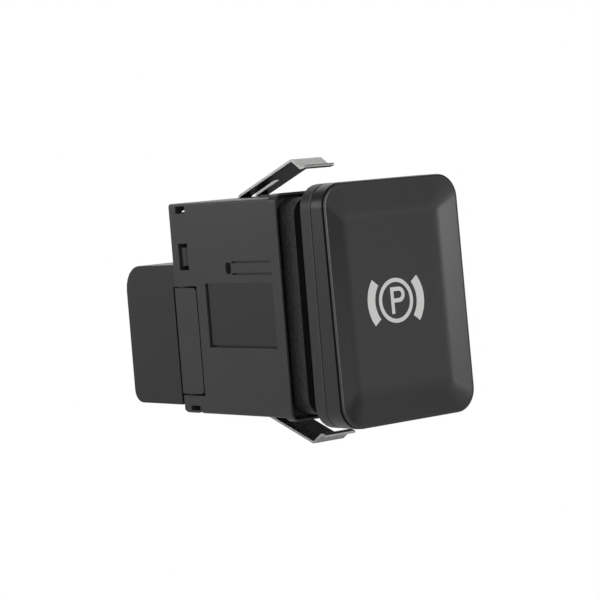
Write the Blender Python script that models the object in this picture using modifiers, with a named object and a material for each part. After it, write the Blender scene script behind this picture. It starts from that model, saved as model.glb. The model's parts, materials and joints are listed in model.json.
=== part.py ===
"""Electric parking brake switch: a sprung push button that clips into an opening of a dashboard.

Metres, +Z up. The button faces -Y and +X is to the right, seen from the front.
The origin is the middle of the panel opening, on the rear face of the housing's flange.
Every length below is a real size, and places along Y are counted from that face.
"""
import math

import bmesh
import bpy
from mathutils import Matrix, Vector

MM = 0.001
CORNER_STEPS = 6
FINE_STEPS = 2
ROUND_SIDES = 40
SMALL_ROUND_SIDES = 24

# Clearances
FIT_GAP = 0.3 * MM
RUNNING_GAP = 0.25 * MM
TRAVEL = 2.4 * MM
STOP_GAP = 0.84 * MM

# Head: the cap that is pressed and the carrier ring behind it share one outline
HEAD_WIDTH = 29.0 * MM
HEAD_HEIGHT = 40.0 * MM
HEAD_CORNER = 4.0 * MM
CAP_DEPTH = 3.83 * MM
CAP_WALL = 1.5 * MM
CAP_FLOOR = 1.2 * MM
FACE_TILT = math.radians(1.28)
RIM_FILLET = 0.3 * MM
RIM_LAND = 0.15 * MM
GROOVE_SETBACK = 0.4 * MM
GROOVE_WIDTH = 0.5 * MM
GROOVE_DEPTH = 0.15 * MM
DISH_DEPTH = 1.25 * MM
DISH_SIDE_BORDER = 4.2 * MM
DISH_END_BORDER = 5.0 * MM
DISH_CORNER = 1.0 * MM
RING_DEPTH = 2.63 * MM
EDGE_BREAK = 0.2 * MM

# Housing: collar, flange and box in one moulding
BODY_SIDE_SETBACK = 0.2 * MM
BODY_END_SETBACK = 1.7 * MM
BODY_LENGTH = 28.2 * MM
BODY_EDGE = 0.5 * MM
BODY_WALL = 1.3 * MM
FLANGE_THICKNESS = 1.94 * MM
FLANGE_SIDE_LEDGE = 0.15 * MM
FLANGE_END_LEDGE = 0.63 * MM
FLANGE_CORNER = 1.5 * MM
MOAT_DEPTH = 1.5 * MM
MOAT_LIP = 0.35 * MM
COLLAR_LENGTH = 3.06 * MM
COLLAR_SIDE_SETBACK = 1.35 * MM
COLLAR_END_SETBACK = 0.93 * MM
COLLAR_WALL = 1.2 * MM
COLLAR_CORNER = 3.0 * MM
BULKHEAD_THICKNESS = 1.4 * MM
PAD_WIDTH = 16.0 * MM
PAD_HEIGHT = 0.4 * MM
PAD_END_WALL = 2.5 * MM
FOOT_LENGTH = 3.2 * MM
FOOT_CHAMFER = 0.6 * MM
FOOT_GROOVE_WIDTH = 1.7 * MM
FOOT_GROOVE_DEPTH = 0.2 * MM

# Marks moulded into both long sides of the housing
PANEL_FRONT = 0.6 * MM
PANEL_REAR_SETBACK = 8.85 * MM
PANEL_TOP_SETBACK = 14.0 * MM
PANEL_HEIGHT = 10.8 * MM
PANEL_DEPTH = 0.3 * MM
PANEL_FRONT_DEPTH = 0.1 * MM
CHANNEL_LENGTH = 10.8 * MM
CHANNEL_SETBACK = 11.45 * MM
CHANNEL_HEIGHT = 2.0 * MM
LINE_WIDTH = 0.35 * MM
LINE_DEPTH = 0.5 * MM
SLOT_WIDTH = 0.45 * MM
PIP_LENGTH = 1.5 * MM
PIP_DEPTH = 1.0 * MM

# Windows, slots and notches that the rear cover's latches fill
WINDOW_REAR_SETBACK = 1.9 * MM
WINDOW_LENGTH = 2.7 * MM
WINDOW_SETBACK = 9.3 * MM
WINDOW_HEIGHT = 4.6 * MM
HOOK_LENGTH = 2.1 * MM
HOOK_CREST = 0.8 * MM
HOOK_HEIGHT = 3.2 * MM
HOOK_PROUD = 0.85 * MM
TOP_NOTCH_HEIGHT = 1.25 * MM
BOTTOM_NOTCH_HEIGHT = 0.85 * MM
NOTCH_INSET = 0.5 * MM
NOTCH_DEPTH = 1.8 * MM
TONGUE_LOW_SETBACK = 3.4 * MM
TONGUE_HIGH_SETBACK = 14.7 * MM
TONGUE_REACH = 6.0 * MM
TONGUE_PROUD = 0.15 * MM
TONGUE_CORNER = 0.8 * MM

# Rear cover and the connector's shroud
COVER_THICKNESS = 2.6 * MM
COVER_PROUD = 0.8 * MM
SHROUD_SIDE_SETBACK = 2.3 * MM
SHROUD_END_SETBACK = 1.0 * MM
SHROUD_HEIGHT = 24.8 * MM
SHROUD_LENGTH = 18.0 * MM
SHROUD_WALL = 1.6 * MM
SHROUD_TOP_ROUND = 4.5 * MM
SHROUD_BOTTOM_ROUND = 2.3 * MM
ROOT_GROOVE_LENGTH = 2.7 * MM
ROOT_GROOVE_DEPTH = 0.9 * MM
SOCKET_CORNER = 0.8 * MM
CODING_RIB_WIDTH = 1.2 * MM
CODING_RIB_HEIGHT = 1.1 * MM
CODING_RIB_SETBACK = 4.5 * MM
STANDOFF_SIDE = 2.0 * MM
STANDOFF_LENGTH = 6.5 * MM

# Contacts of the connector
PIN_SIDE = 0.64 * MM
PIN_PITCH = 3.5 * MM
PIN_ROW_GAP = 4.0 * MM
PINS_IN_A_ROW = 5
PIN_SHORT_OF_MOUTH = 4.6 * MM
PIN_TAPER = 1.0 * MM
HEADER_THICKNESS = 2.5 * MM
HEADER_MARGIN = 2.0 * MM

# Spring clips, folded from flat strip
CLIP_WIDTH = 6.45 * MM
CLIP_THICKNESS = 0.45 * MM
CLIP_FOOT_SETBACK = 5.8 * MM
CLIP_TAIL = 2.9 * MM
CLIP_RUN = 15.5 * MM
CLIP_RISE = 5.6 * MM
CLIP_LEG_RUN = 2.3 * MM
CLIP_LEG_DROP = 1.5 * MM
CLIP_LIP_RUN = 1.3 * MM
CLIP_LIP_RISE = 0.3 * MM
CLIP_BEND = 0.7 * MM
CLIP_BEND_STEPS = 3
CLIP_SLOT_WIDTH = 1.1 * MM
CLIP_SLOT_LENGTH = 7.3 * MM

# Carrier behind the cap: skirt, light chimney, switch posts and stop noses
SKIRT_TO_BULKHEAD = 3.9 * MM
SKIRT_WALL = 1.2 * MM
CARRIER_PLATE = 1.4 * MM
SPIGOT_HEIGHT = 0.9 * MM
SPIGOT_WALL = 1.6 * MM
CHIMNEY_WALL = 1.0 * MM
CHIMNEY_SHORT_OF_SKIRT = 3.4 * MM
DIFFUSER_RIM = 1.0 * MM
NOSE_WIDTH = 6.0 * MM
NOSE_LENGTH = 1.9 * MM
NOSE_PROUD = 0.95 * MM
POST_SIDE = 3.0 * MM
POST_WEB = 1.0 * MM

# Return spring, a coil around the chimney
WIRE_RADIUS = 0.4 * MM
SPRING_TO_SKIRT = 1.25 * MM
SPRING_TO_CHIMNEY = 0.8 * MM
SPRING_TURNS = 6
POINTS_PER_TURN = 16

# Circuit board and what it carries
BOARD_THICKNESS = 1.6 * MM
BOARD_CORNER = 1.5 * MM
LEDGE_SIDE = 2.2 * MM
SWITCH_SIDE = 6.0 * MM
SWITCH_HEIGHT = 3.4 * MM
SWITCH_CORNER = 0.5 * MM
SWITCH_TO_SKIRT_END = 0.35 * MM
SWITCH_TO_SKIRT_SIDE = 0.95 * MM
STEM_RADIUS = 1.6 * MM
LED_WIDTH = 3.2 * MM
LED_HEIGHT = 1.6 * MM
LED_DEPTH = 1.1 * MM
LED_SPACING = 3.6 * MM
GUIDE_RADIUS = 3.6 * MM
GUIDE_FLANGE = 1.4 * MM
GUIDE_FLANGE_DEPTH = 1.0 * MM
GUIDE_TO_DIFFUSER = 1.0 * MM

# Sizes across, from the head inwards
BODY_WIDTH = HEAD_WIDTH - 2 * BODY_SIDE_SETBACK
BODY_HEIGHT = HEAD_HEIGHT - 2 * BODY_END_SETBACK
BODY_TOP = BODY_HEIGHT / 2
FLANGE_WIDTH = BODY_WIDTH + 2 * FLANGE_SIDE_LEDGE
FLANGE_HEIGHT = BODY_HEIGHT + 2 * FLANGE_END_LEDGE
COLLAR_WIDTH = FLANGE_WIDTH - 2 * COLLAR_SIDE_SETBACK
COLLAR_HEIGHT = FLANGE_HEIGHT - 2 * COLLAR_END_SETBACK
BORE_WIDTH = COLLAR_WIDTH - 2 * COLLAR_WALL
BORE_HEIGHT = COLLAR_HEIGHT - 2 * COLLAR_WALL
BORE_CORNER = COLLAR_CORNER - COLLAR_WALL
SKIRT_WIDTH = BORE_WIDTH - 2 * RUNNING_GAP
SKIRT_HEIGHT = BORE_HEIGHT - 2 * RUNNING_GAP
WELL_WIDTH = SKIRT_WIDTH - 2 * SKIRT_WALL
WELL_HEIGHT = SKIRT_HEIGHT - 2 * SKIRT_WALL
CAVITY_WIDTH = BODY_WIDTH - 2 * BODY_WALL
CAVITY_HEIGHT = BODY_HEIGHT - 2 * BODY_WALL
INSERT_WIDTH = CAVITY_WIDTH - 2 * FIT_GAP
INSERT_HEIGHT = CAVITY_HEIGHT - 2 * FIT_GAP
SPRING_OUTER = WELL_WIDTH / 2 - SPRING_TO_SKIRT
SPRING_RADIUS = SPRING_OUTER - WIRE_RADIUS
CHIMNEY_RADIUS = SPRING_OUTER - 2 * WIRE_RADIUS - SPRING_TO_CHIMNEY
CHIMNEY_BORE = CHIMNEY_RADIUS - CHIMNEY_WALL
DIFFUSER_RADIUS = CHIMNEY_RADIUS
SWITCH_X = WELL_WIDTH / 2 - SWITCH_TO_SKIRT_SIDE - SWITCH_SIDE / 2
SWITCH_Z = WELL_HEIGHT / 2 - SWITCH_TO_SKIRT_END - SWITCH_SIDE / 2
SHROUD_WIDTH = BODY_WIDTH - 2 * SHROUD_SIDE_SETBACK
SHROUD_LOW = SHROUD_END_SETBACK - BODY_TOP
SHROUD_HIGH = SHROUD_LOW + SHROUD_HEIGHT
SOCKET_WIDTH = SHROUD_WIDTH - 2 * SHROUD_WALL
SOCKET_Z = (SHROUD_LOW + SHROUD_HIGH) / 2
TONGUE_LOW = TONGUE_LOW_SETBACK - BODY_TOP
TONGUE_HIGH = BODY_TOP - TONGUE_HIGH_SETBACK
WINDOW_Z = BODY_TOP - WINDOW_SETBACK

# Places along Y, from the rear of the housing forwards
COVER_REAR = BODY_LENGTH + COVER_PROUD
COVER_FRONT = COVER_REAR - COVER_THICKNESS
COVER_CORE = COVER_FRONT + COVER_THICKNESS / 2
SHROUD_FRONT = BODY_LENGTH + FIT_GAP
SHROUD_REAR = SHROUD_FRONT + SHROUD_LENGTH
BOARD_REAR = COVER_FRONT - STANDOFF_LENGTH - FIT_GAP
BOARD_FRONT = BOARD_REAR - BOARD_THICKNESS
SWITCH_REAR = BOARD_FRONT - FIT_GAP
SWITCH_FRONT = SWITCH_REAR - SWITCH_HEIGHT
LED_FRONT = BOARD_FRONT - FIT_GAP - LED_DEPTH
BULKHEAD_REAR = SWITCH_FRONT - 2 * FIT_GAP - GUIDE_FLANGE_DEPTH
BULKHEAD_FRONT = BULKHEAD_REAR - BULKHEAD_THICKNESS
SKIRT_REAR = BULKHEAD_FRONT - SKIRT_TO_BULKHEAD - TRAVEL
NOSE_FRONT = SKIRT_REAR - NOSE_LENGTH
POCKET_REAR = SKIRT_REAR + TRAVEL + FIT_GAP
PAD_REAR = POCKET_REAR + PAD_END_WALL
WINDOW_REAR = BODY_LENGTH - WINDOW_REAR_SETBACK
WINDOW_FRONT = WINDOW_REAR - WINDOW_LENGTH
TONGUE_REAR = BODY_LENGTH + TONGUE_PROUD
TONGUE_FRONT = BODY_LENGTH - TONGUE_REACH
CLIP_FOOT = BODY_LENGTH - CLIP_FOOT_SETBACK

# Places along Y, from the flange forwards to the face
COLLAR_FRONT = -FLANGE_THICKNESS - COLLAR_LENGTH
RING_REAR = COLLAR_FRONT - TRAVEL - STOP_GAP
RING_FRONT = RING_REAR - RING_DEPTH
PLATE_REAR = RING_FRONT + CARRIER_PLATE
PLATE_CORE = RING_FRONT + CARRIER_PLATE / 2
SPIGOT_FRONT = RING_FRONT - SPIGOT_HEIGHT
CAP_REAR = RING_FRONT - FIT_GAP
RIM_Y = CAP_REAR - CAP_DEPTH
DIFFUSER_REAR = RING_FRONT - FIT_GAP
GUIDE_FRONT = DIFFUSER_REAR + TRAVEL + GUIDE_TO_DIFFUSER
CHIMNEY_REAR = SKIRT_REAR - CHIMNEY_SHORT_OF_SKIRT


def plastic(name, red, green, blue, roughness):
    """Principled material of a moulding."""
    material = bpy.data.materials.new(name)
    material.use_nodes = True
    shader = material.node_tree.nodes["Principled BSDF"]
    shader.inputs["Base Color"].default_value = (red, green, blue, 1.0)
    shader.inputs["Roughness"].default_value = roughness
    material.diffuse_color = (red, green, blue, 1.0)
    return material


def metal(name, red, green, blue, roughness):
    """Principled material of a bare or plated metal."""
    material = plastic(name, red, green, blue, roughness)
    material.node_tree.nodes["Principled BSDF"].inputs["Metallic"].default_value = 1.0
    return material


def centred(size, middle=0.0):
    """Span of a size about its middle."""
    return middle - size / 2, middle + size / 2


def mirrored(low, high, side):
    """Span from low to high, or its mirror image where side is -1."""
    return tuple(sorted((low * side, high * side)))


def add_block(bm, x, y, z, corner=0.0, steps=CORNER_STEPS, along="Y", front_only=False):
    """Box from its spans along X, Y and Z, the four edges along one axis rounded, or the front two."""
    spans = (x, y, z)
    size = Vector([high - low for low, high in spans])
    made = bmesh.ops.create_cube(bm, size=1.0)["verts"]
    bmesh.ops.scale(bm, vec=size, verts=made)
    bmesh.ops.translate(bm, vec=[(low + high) / 2 for low, high in spans], verts=made)
    if corner > 0:
        axis = "XYZ".index(along)
        edges = {edge for vert in made for edge in vert.link_edges}
        long_edges = [
            edge for edge in edges
            if abs(edge.verts[0].co[axis] - edge.verts[1].co[axis]) > size[axis] / 2
            and not (front_only and edge.verts[0].co.y > y[0])
        ]
        bmesh.ops.bevel(
            bm, geom=long_edges, offset=corner, segments=steps, profile=0.5,
            affect="EDGES", material=-1,
        )


def add_rod(bm, radius, y, x=0.0, z=0.0, sides=ROUND_SIDES):
    """Round rod along Y."""
    lying = Matrix.Rotation(math.radians(90), 4, "X")
    bmesh.ops.create_cone(
        bm, cap_ends=True, segments=sides, radius1=radius, radius2=radius,
        depth=y[1] - y[0], matrix=Matrix.Translation((x, (y[0] + y[1]) / 2, z)) @ lying,
    )


def show(name, data, collection, material=None):
    """Object of a mesh or a curve, in a collection."""
    thing = bpy.data.objects.new(name, data)
    collection.objects.link(thing)
    if material:
        data.materials.append(material)
    if collection == CUTTERS:
        thing.hide_render = True
        thing.display_type = "WIRE"
    return thing


def finish(name, bm, collection, material=None):
    """Object from a bmesh, smooth on its round faces."""
    mesh = bpy.data.meshes.new(name)
    bm.to_mesh(mesh)
    bm.free()
    mesh.shade_smooth()
    mesh.set_sharp_from_angle(angle=math.radians(35))
    return show(name, mesh, collection, material)


def combine(target, tool, operation):
    """Boolean of a piece with a helper shape."""
    modifier = target.modifiers.new(tool.name, "BOOLEAN")
    modifier.operation = operation
    modifier.solver = "EXACT"
    modifier.object = tool


def fuse(target, name, bm):
    """Add shapes to a piece. Shapes of one bmesh lie clear of each other."""
    combine(target, finish(name, bm, CUTTERS), "UNION")


def cut(target, name, bm):
    """Cut shapes out of a piece. Shapes of one bmesh lie clear of each other."""
    combine(target, finish(name, bm, CUTTERS), "DIFFERENCE")


def rounded_rectangle(width, height, corner):
    """Outline in X and Z, the same number of points for any size."""
    points = []
    for quarter, (sign_x, sign_z) in enumerate(((1, 1), (-1, 1), (-1, -1), (1, -1))):
        for step in range(CORNER_STEPS + 1):
            angle = math.radians(90) * (quarter + step / CORNER_STEPS)
            points.append((
                sign_x * (width / 2 - corner) + corner * math.cos(angle),
                sign_z * (height / 2 - corner) + corner * math.sin(angle),
            ))
    return points


def head_ring(inset, depth, lean):
    """Section of the head at a depth behind its rim, moved in from the outline.

    A ring that leans follows the face, whose lower edge stands further forward.
    """
    outline = rounded_rectangle(HEAD_WIDTH - 2 * inset, HEAD_HEIGHT - 2 * inset, HEAD_CORNER - inset)
    return [(x, RIM_Y + depth + z * math.tan(lean), z) for x, z in outline]


def loft(rings):
    """Closed skin through rings with the same number of points, flat at both ends."""
    bm = bmesh.new()
    rows = [[bm.verts.new(point) for point in ring] for ring in rings]
    for lower, upper in zip(rows, rows[1:]):
        for index, vert in enumerate(lower):
            bm.faces.new((lower[index - 1], vert, upper[index], upper[index - 1]))
    bm.faces.new(reversed(rows[0]))
    bm.faces.new(rows[-1])
    bmesh.ops.recalc_face_normals(bm, faces=bm.faces)
    return bm


def arc(centre, radius, start, end):
    """Points of an arc, its angles in degrees."""
    angles = [math.radians(start + (end - start) * step / CORNER_STEPS) for step in range(CORNER_STEPS + 1)]
    return [(centre[0] + radius * math.cos(a), centre[1] + radius * math.sin(a)) for a in angles]


def outline_solid(name, outline, width, collection):
    """Solid of an outline in Y and Z, as wide as given along X."""
    curve = bpy.data.curves.new(name, "CURVE")
    curve.dimensions = "2D"
    curve.fill_mode = "BOTH"
    curve.extrude = width / 2
    spline = curve.splines.new("POLY")
    spline.points.add(len(outline) - 1)
    for point, (y, z) in zip(spline.points, outline):
        point.co = (y, z, 0.0, 1.0)
    spline.use_cyclic_u = True
    flat = show(name, curve, collection)
    upright = Matrix(((0, 0, 1, 0), (1, 0, 0, 0), (0, 1, 0, 0), (0, 0, 0, 1)))
    solid = solid_from_curve(flat, upright)
    return finish(name, solid, collection)


def solid_from_curve(flat, matrix):
    """Welded bmesh of a curve object, turned by a matrix. The curve is removed."""
    bpy.context.view_layer.update()
    evaluated = flat.evaluated_get(bpy.context.evaluated_depsgraph_get())
    mesh = bpy.data.meshes.new_from_object(evaluated)
    bpy.data.objects.remove(flat)
    bm = bmesh.new()
    bm.from_mesh(mesh)
    bpy.data.meshes.remove(mesh)
    bmesh.ops.remove_doubles(bm, verts=bm.verts, dist=0.001 * MM)
    bmesh.ops.transform(bm, matrix=matrix, verts=bm.verts)
    bmesh.ops.recalc_face_normals(bm, faces=bm.faces)
    return bm


def bent_path(points, radius):
    """Path through corner points in Y and Z, each inner corner turned into an arc."""
    path = [Vector(points[0])]
    for before, corner, after in zip(points, points[1:], points[2:]):
        corner = Vector(corner)
        back = (Vector(before) - corner).normalized()
        ahead = (Vector(after) - corner).normalized()
        half_angle = back.angle(ahead) / 2
        reach = radius / math.tan(half_angle)
        centre = corner + (back + ahead).normalized() * radius / math.sin(half_angle)
        start, end = corner + back * reach - centre, corner + ahead * reach - centre
        for step in range(CLIP_BEND_STEPS + 1):
            spoke = start.lerp(end, step / CLIP_BEND_STEPS).normalized()
            path.append(centre + spoke * radius)
    path.append(Vector(points[-1]))
    return path


def pin_places():
    """Centre of each contact in X and Z, lower row first."""
    for row in (-1, 1):
        for column in range(PINS_IN_A_ROW):
            x = PIN_PITCH * (column - (PINS_IN_A_ROW - 1) / 2)
            yield x, SOCKET_Z + row * PIN_ROW_GAP / 2


def cut_pin_holes(target, name, y):
    """Square holes for the contacts through a piece."""
    bm = bmesh.new()
    hole = PIN_SIDE + 2 * FIT_GAP
    for x, z in pin_places():
        add_block(bm, centred(hole, x), y, centred(hole, z))
    cut(target, name, bm)


def make_button_cap(material):
    """Hollow cap with a dished, leaning face and a fine groove round its side."""
    groove_rear = GROOVE_SETBACK + GROOVE_WIDTH
    rings = [
        head_ring(0.0, CAP_DEPTH, 0.0),
        head_ring(0.0, groove_rear, FACE_TILT),
        head_ring(GROOVE_DEPTH, groove_rear, FACE_TILT),
        head_ring(GROOVE_DEPTH, GROOVE_SETBACK, FACE_TILT),
        head_ring(0.0, GROOVE_SETBACK, FACE_TILT),
    ]
    for step in range(FINE_STEPS + 2):
        angle = math.radians(90) * step / (FINE_STEPS + 1)
        inset = RIM_FILLET * (1 - math.cos(angle))
        rings.append(head_ring(inset, RIM_FILLET * (1 - math.sin(angle)), FACE_TILT))
    rings.append(head_ring(RIM_FILLET + RIM_LAND, 0.0, FACE_TILT))
    floor = rounded_rectangle(
        HEAD_WIDTH - 2 * DISH_SIDE_BORDER, HEAD_HEIGHT - 2 * DISH_END_BORDER, DISH_CORNER,
    )
    rings.append([(x, RIM_Y + DISH_DEPTH + z * math.tan(FACE_TILT), z) for x, z in floor])
    cap = finish("button_cap", loft(rings), PARTS, material)
    cut(cap, "cap_hollow", loft([
        head_ring(CAP_WALL, CAP_DEPTH + FIT_GAP, 0.0),
        head_ring(CAP_WALL, DISH_DEPTH + CAP_FLOOR, FACE_TILT),
    ]))


def make_button_carrier(material):
    """Ring behind the cap, with the skirt that slides in the housing's collar."""
    front, rear = RING_FRONT - RIM_Y, RING_REAR - RIM_Y
    ring = loft([
        head_ring(EDGE_BREAK, rear, 0.0),
        head_ring(0.0, rear - EDGE_BREAK, 0.0),
        head_ring(0.0, front + EDGE_BREAK, 0.0),
        head_ring(EDGE_BREAK, front, 0.0),
    ])
    carrier = finish("button_carrier", ring, PARTS, material)

    spigot = bmesh.new()
    inset = CAP_WALL + FIT_GAP
    add_block(
        spigot, centred(HEAD_WIDTH - 2 * inset), (SPIGOT_FRONT, PLATE_CORE),
        centred(HEAD_HEIGHT - 2 * inset), HEAD_CORNER - inset,
    )
    fuse(carrier, "spigot", spigot)
    recess = bmesh.new()
    inset += SPIGOT_WALL
    add_block(
        recess, centred(HEAD_WIDTH - 2 * inset), (RIM_Y, RING_FRONT),
        centred(HEAD_HEIGHT - 2 * inset), HEAD_CORNER - inset,
    )
    cut(carrier, "spigot_recess", recess)

    skirt = bmesh.new()
    add_block(
        skirt, centred(SKIRT_WIDTH), (PLATE_CORE, SKIRT_REAR), centred(SKIRT_HEIGHT), BORE_CORNER,
    )
    fuse(carrier, "skirt", skirt)
    well = bmesh.new()
    add_block(
        well, centred(WELL_WIDTH), (PLATE_REAR, SKIRT_REAR + FIT_GAP), centred(WELL_HEIGHT),
        BORE_CORNER / 2,
    )
    cut(carrier, "well", well)
    add_light_chimney(carrier)
    add_posts_and_noses(carrier)


def add_light_chimney(carrier):
    """Tube that carries light to the symbol, with the diffuser's seat at its mouth."""
    rim = bmesh.new()
    add_rod(rim, DIFFUSER_RADIUS + FIT_GAP + DIFFUSER_RIM, (SPIGOT_FRONT, PLATE_CORE))
    fuse(carrier, "diffuser_rim", rim)
    seat = bmesh.new()
    add_rod(seat, DIFFUSER_RADIUS + FIT_GAP, (RIM_Y, RING_FRONT))
    cut(carrier, "diffuser_seat", seat)
    chimney = bmesh.new()
    add_rod(chimney, CHIMNEY_RADIUS, (PLATE_CORE, CHIMNEY_REAR))
    fuse(carrier, "chimney", chimney)
    bore = bmesh.new()
    add_rod(bore, CHIMNEY_BORE, (RIM_Y, SKIRT_REAR))
    cut(carrier, "chimney_bore", bore)


def add_posts_and_noses(carrier):
    """Posts that press the switches, each on a web, and noses that stop the button."""
    posts, webs, noses = bmesh.new(), bmesh.new(), bmesh.new()
    for side in (-1, 1):
        add_block(
            posts, centred(POST_SIDE, side * SWITCH_X), (PLATE_CORE, SKIRT_REAR),
            centred(POST_SIDE, SWITCH_Z),
        )
        add_block(
            webs, centred(POST_WEB, side * SWITCH_X), (PLATE_CORE, SKIRT_REAR - EDGE_BREAK),
            (SWITCH_Z, WELL_HEIGHT / 2 + SKIRT_WALL / 2),
        )
        add_block(
            noses, centred(NOSE_WIDTH), (NOSE_FRONT, SKIRT_REAR - EDGE_BREAK / 2),
            mirrored(WELL_HEIGHT / 2 + SKIRT_WALL / 2, SKIRT_HEIGHT / 2 + NOSE_PROUD, side),
        )
    fuse(carrier, "switch_posts", posts)
    fuse(carrier, "post_webs", webs)
    fuse(carrier, "stop_noses", noses)


def make_symbol_diffuser(material):
    """Translucent disc behind the symbol, seated on the chimney's mouth."""
    bm = bmesh.new()
    front = RIM_Y + DISH_DEPTH + CAP_FLOOR + FIT_GAP + DIFFUSER_RADIUS * math.tan(FACE_TILT)
    add_rod(bm, DIFFUSER_RADIUS, (front, DIFFUSER_REAR))
    finish("symbol_diffuser", bm, PARTS, material)


def make_housing(material):
    """Collar, flange and box, with the bore, the cavity and the bulkhead between them."""
    bm = bmesh.new()
    add_block(
        bm, centred(BODY_WIDTH), (-FLANGE_THICKNESS / 2, BODY_LENGTH), centred(BODY_HEIGHT),
        BODY_EDGE, FINE_STEPS,
    )
    housing = finish("housing", bm, PARTS, material)
    flange = bmesh.new()
    add_block(
        flange, centred(FLANGE_WIDTH), (-FLANGE_THICKNESS, 0.0), centred(FLANGE_HEIGHT), FLANGE_CORNER,
    )
    fuse(housing, "flange", flange)
    moat = bmesh.new()
    add_block(
        moat, centred(FLANGE_WIDTH - 2 * MOAT_LIP), (COLLAR_FRONT, MOAT_DEPTH - FLANGE_THICKNESS),
        centred(FLANGE_HEIGHT - 2 * MOAT_LIP), FLANGE_CORNER - MOAT_LIP,
    )
    cut(housing, "moat_round_the_collar", moat)
    collar = bmesh.new()
    add_block(
        collar, centred(COLLAR_WIDTH), (COLLAR_FRONT, FLANGE_THICKNESS / 5), centred(COLLAR_HEIGHT),
        COLLAR_CORNER,
    )
    fuse(housing, "collar", collar)
    pads = bmesh.new()
    for end in (-1, 1):
        add_block(
            pads, centred(PAD_WIDTH), ((MOAT_DEPTH - FLANGE_THICKNESS) / 2, PAD_REAR),
            mirrored(BODY_TOP - BODY_WALL / 2, BODY_TOP + PAD_HEIGHT, end),
        )
    fuse(housing, "latch_pads", pads)

    hollow = bmesh.new()
    add_block(
        hollow, centred(BORE_WIDTH), (COLLAR_FRONT - FIT_GAP, BULKHEAD_FRONT), centred(BORE_HEIGHT),
        BORE_CORNER,
    )
    add_block(
        hollow, centred(CAVITY_WIDTH), (BULKHEAD_REAR, BODY_LENGTH + FIT_GAP), centred(CAVITY_HEIGHT),
        BODY_EDGE, FINE_STEPS,
    )
    cut(housing, "bore_and_cavity", hollow)
    add_board_ledges(housing)
    cut_bulkhead_holes(housing)
    cut_pockets(housing)
    cut_side_marks(housing)
    cut_latch_windows(housing)
    shape_foot(housing)


def shape_foot(housing):
    """Shallow groove across the underside, and a chamfer along its rear edge."""
    groove = bmesh.new()
    groove_rear = BODY_LENGTH - FOOT_LENGTH
    add_block(
        groove, centred(BODY_WIDTH + 2 * FIT_GAP), (groove_rear - FOOT_GROOVE_WIDTH, groove_rear),
        (-BODY_TOP - FIT_GAP, -BODY_TOP + FOOT_GROOVE_DEPTH),
    )
    cut(housing, "foot_groove", groove)
    leg = FOOT_CHAMFER + 2 * FIT_GAP
    rear, low = BODY_LENGTH + FIT_GAP, -BODY_TOP - FIT_GAP
    triangle = ((rear, low), (rear - leg, low), (rear, low + leg))
    cut(housing, "foot_chamfer", loft([
        [(side * (BODY_WIDTH / 2 + FIT_GAP), y, z) for y, z in triangle] for side in (-1, 1)
    ]))


def add_board_ledges(housing):
    """Four corner ledges that the circuit board sits against."""
    ledges = bmesh.new()
    for side in (-1, 1):
        for end in (-1, 1):
            add_block(
                ledges,
                mirrored(CAVITY_WIDTH / 2 - LEDGE_SIDE, CAVITY_WIDTH / 2 + BODY_WALL / 3, side),
                (BULKHEAD_REAR - BULKHEAD_THICKNESS / 2, BOARD_FRONT - FIT_GAP),
                mirrored(CAVITY_HEIGHT / 2 - LEDGE_SIDE, CAVITY_HEIGHT / 2 + BODY_WALL / 3, end),
            )
    fuse(housing, "board_ledges", ledges)


def cut_bulkhead_holes(housing):
    """Holes for the light guide and for the two switch stems."""
    holes = bmesh.new()
    through = (BULKHEAD_FRONT - FIT_GAP, BULKHEAD_REAR + FIT_GAP)
    add_rod(holes, GUIDE_RADIUS + FIT_GAP, through)
    for side in (-1, 1):
        add_rod(holes, STEM_RADIUS + FIT_GAP, through, side * SWITCH_X, SWITCH_Z, SMALL_ROUND_SIDES)
    cut(housing, "bulkhead_holes", holes)


def cut_pockets(housing):
    """Pockets that the carrier's noses run in, and slots for the feet of the clips."""
    pockets = bmesh.new()
    nose_top = SKIRT_HEIGHT / 2 + NOSE_PROUD
    for end in (-1, 1):
        add_block(
            pockets, centred(NOSE_WIDTH + 2 * FIT_GAP), (NOSE_FRONT - FIT_GAP, POCKET_REAR),
            mirrored(BORE_HEIGHT / 2 - FIT_GAP, nose_top + FIT_GAP, end),
        )
        add_block(
            pockets, centred(CLIP_WIDTH + 2 * FIT_GAP), centred(CLIP_THICKNESS + 2 * FIT_GAP, CLIP_FOOT),
            mirrored(CAVITY_HEIGHT / 2 - FIT_GAP, BODY_TOP + FIT_GAP, end),
        )
    cut(housing, "pockets_and_slots", pockets)


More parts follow.
